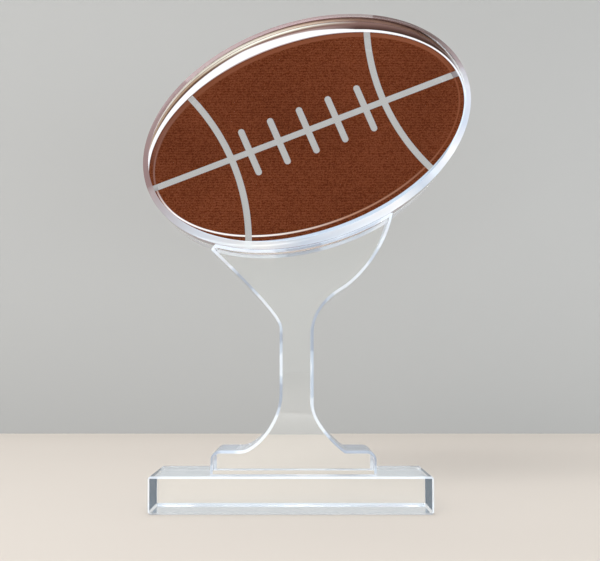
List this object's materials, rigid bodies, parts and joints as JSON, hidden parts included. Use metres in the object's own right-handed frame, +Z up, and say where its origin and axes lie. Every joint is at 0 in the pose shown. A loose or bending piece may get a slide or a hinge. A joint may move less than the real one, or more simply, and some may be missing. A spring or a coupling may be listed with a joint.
{
  "type": "football trophy stand",
  "caption": "Free-standing clear acrylic display: a football-shaped laminated block with brown printed panels on a goblet-shaped stem and a rectangular base.",
  "frame": {"origin": "middle of the base block's underside, on the surface it stands on", "axes": "+Z up, +X to the right when the football's front faces the viewer, -Y to the front"},
  "size_m": [0.1328, 0.032, 0.2018],
  "materials": {
    "clear_acrylic": "clear acrylic, flame-polished edges",
    "clear_bond": "clear cement and laminating film",
    "brown_ink": "brown ink printed with a fine leather grain"
  },
  "bodies": {
    "root": {"base_block": "clear_acrylic", "foot_bond": "clear_bond", "stem_plate": "clear_acrylic", "cradle_bond": "clear_bond", "ball_front_plate": "clear_acrylic", "ball_back_plate": "clear_acrylic", "laminate_film": "clear_bond", "panel_left_upper": "brown_ink", "panel_left_lower": "brown_ink", "panel_middle_upper": "brown_ink", "panel_middle_lower": "brown_ink", "panel_right_upper": "brown_ink", "panel_right_lower": "brown_ink"}
  },
  "joints": []
}
